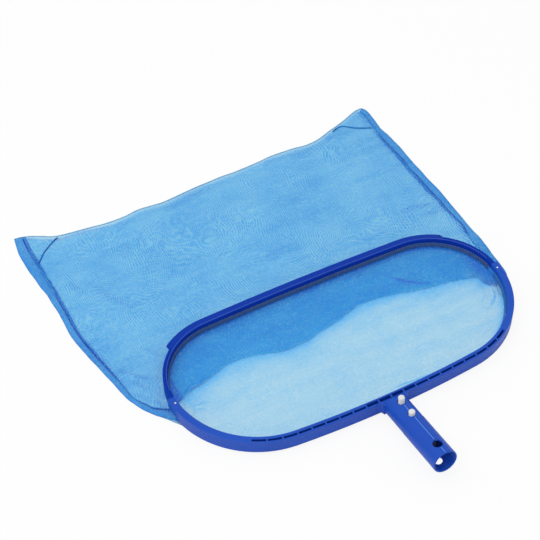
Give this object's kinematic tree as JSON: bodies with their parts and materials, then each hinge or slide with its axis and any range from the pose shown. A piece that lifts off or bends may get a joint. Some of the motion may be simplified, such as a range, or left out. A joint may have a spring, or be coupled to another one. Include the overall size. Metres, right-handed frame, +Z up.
{
  "type": "leaf skimmer net",
  "caption": "Oval moulded skimmer frame with a ribbed channel and scoop lip, a deep fine-mesh bag laid flat, and a round pole socket with a snap clip.",
  "frame": {"origin": "on the socket tube's axis, at the middle of its cross hole", "axes": "+Z up from the floor the net lies on, +Y from the socket tube towards the bag, +X to the right seen from the handle"},
  "size_m": [0.5015, 0.5641, 0.0413],
  "materials": {
    "frame_blue": "glossy injection-moulded blue plastic",
    "white_plastic": "white moulded plastic",
    "clip_plastic": "dark grey spring plastic",
    "net": "fine woven polyester mesh",
    "binding": "folded mesh binding",
    "thread": "sewing thread"
  },
  "bodies": {
    "frame": {"handle_frame": "frame_blue", "lip_frame": "frame_blue", "joint_pin_left": "white_plastic", "joint_pin_right": "white_plastic", "mouth_hem_front": "net", "mouth_hem_rear": "net", "clip_spring": "clip_plastic", "lower_net_panel": "net", "upper_net_panel": "net", "far_fold": "net", "side_tape_left": "binding", "side_tape_right": "binding", "side_thread_left": "thread", "side_thread_right": "thread", "corner_seam_left": "thread", "corner_seam_right": "thread"},
    "clip_arm": {"clip_lever": "clip_plastic", "release_button": "white_plastic", "lock_button": "white_plastic"}
  },
  "joints": [
    {"name": "clip_press", "type": "hinge", "parent": "frame", "child": "clip_arm", "pos_m": [0, 0.02125, 0.00766], "axis": [-1, 0, 0], "range_deg": [0, 9.9], "stiffness_Nm_per_rad": 4, "springref_deg": -1.72}
  ]
}
